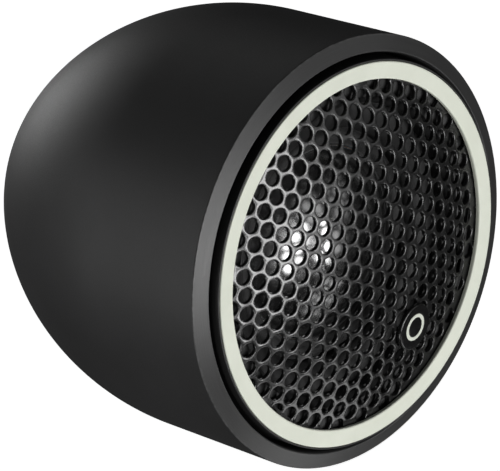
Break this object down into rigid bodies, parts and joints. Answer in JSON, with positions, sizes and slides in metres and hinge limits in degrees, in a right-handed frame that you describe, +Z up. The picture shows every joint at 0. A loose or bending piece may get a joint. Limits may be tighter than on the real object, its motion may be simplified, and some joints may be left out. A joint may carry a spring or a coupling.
{
  "type": "car tweeter",
  "caption": "Round surface-mount pod with a rounded back, holding a dome tweeter behind a domed perforated grille and a cream trim ring; the tweeter module twists out of the pod.",
  "frame": {"origin": "centre of the rear mounting face, on the back of the foam gasket", "axes": "+Y is the mounting face's outward normal, towards the panel the pod is fixed to; the grille faces -Y; +Z is up"},
  "size_m": [0.0452, 0.0424, 0.0452],
  "materials": {
    "pod_plastic": "fine matte moulded texture",
    "bezel_plastic": "satin",
    "cream_plastic": "satin, pale cream",
    "grille_paint": "gloss black coat on perforated steel",
    "badge_plastic": "gloss",
    "badge_inlay": "satin, pale cream",
    "faceplate_plastic": "matte",
    "dome_film": "coated, glossy",
    "surround_fabric": "doped cloth",
    "aluminium_foil": "bright",
    "copper_wire": "enamelled copper",
    "plated_steel": "zinc plated",
    "nickel_plate": "bright nickel plating",
    "screw_steel": "zinc plated",
    "brass_tab": "bright, rolled",
    "fibre_board": "vulcanised fibre",
    "felt": "grey wool felt",
    "foam": "closed-cell foam",
    "rubber": "moulded"
  },
  "bodies": {
    "pod": {"pod_shell": "pod_plastic", "rear_gasket": "foam", "wire_grommet": "rubber", "module_seal": "rubber"},
    "tweeter_module": {"front_bezel": "bezel_plastic", "trim_ring": "cream_plastic", "grille": "grille_paint", "badge_disc": "badge_plastic", "badge_ring": "badge_inlay", "faceplate": "faceplate_plastic", "surround": "surround_fabric", "diaphragm_ring": "faceplate_plastic", "damping_felt": "felt", "pole_plate": "plated_steel", "magnet": "nickel_plate", "yoke_cup": "plated_steel", "motor_pad": "foam", "rear_cup": "faceplate_plastic", "terminal_board": "fibre_board", "terminal_positive": "brass_tab", "terminal_negative": "brass_tab", "lead_wire_positive": "copper_wire", "lead_wire_negative": "copper_wire", "module_screw_1": "screw_steel", "module_screw_2": "screw_steel", "module_screw_3": "screw_steel"},
    "diaphragm": {"dome": "dome_film", "voice_coil_former": "aluminium_foil", "voice_coil": "copper_wire"}
  },
  "joints": [
    {"name": "module_twist", "type": "hinge", "parent": "pod", "child": "tweeter_module", "pos_m": [0, 0, 0], "axis": [0, -1, 0], "range_deg": [0, 15]},
    {"name": "diaphragm_travel", "type": "slide", "parent": "tweeter_module", "child": "diaphragm", "axis": [0, -1, 0], "range_m": [-0.00035, 0.00035], "stiffness_N_per_m": 200, "deforming": ["surround"]}
  ]
}
